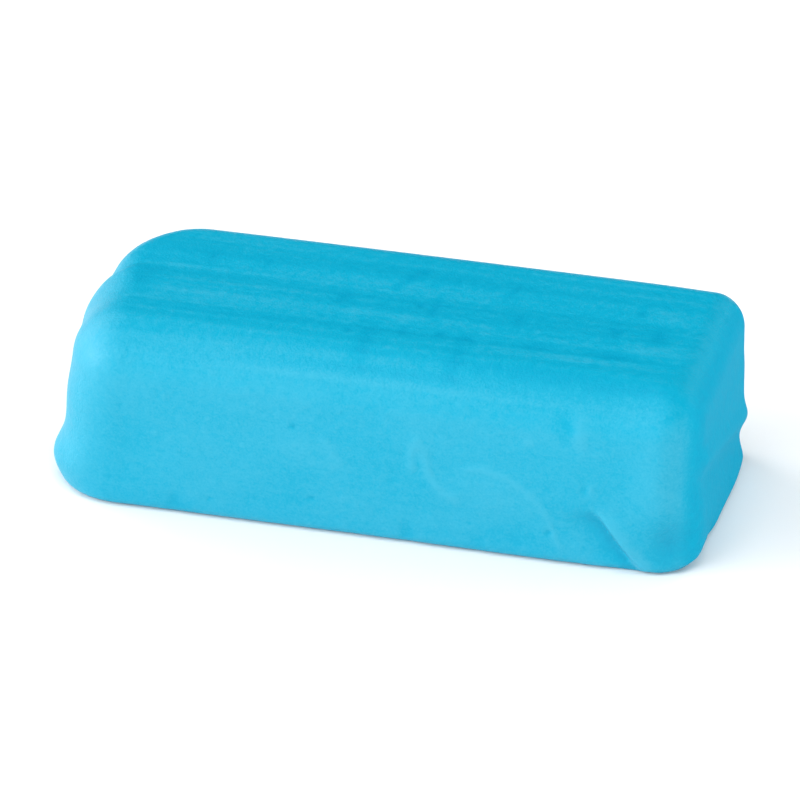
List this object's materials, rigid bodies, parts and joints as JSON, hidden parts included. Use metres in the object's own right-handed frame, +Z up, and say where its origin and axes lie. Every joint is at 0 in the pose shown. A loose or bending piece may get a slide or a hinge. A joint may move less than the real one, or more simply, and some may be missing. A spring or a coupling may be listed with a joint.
{
  "type": "clay bar",
  "caption": "Bare rounded block of kneadable synthetic clay for lifting grit off car paint: long extruded sides, two uneven cut ends, flat underside.",
  "frame": {"origin": "middle of the bounding box, on the flat underside that the bar rests on", "axes": "+X along the bar towards the end with the slanting burr, +Y from the front side to the back side, +Z up"},
  "size_m": [0.114, 0.0442, 0.033],
  "materials": {
    "clay": "satin"
  },
  "bodies": {
    "root": {"clay_bar": "clay"}
  },
  "joints": []
}
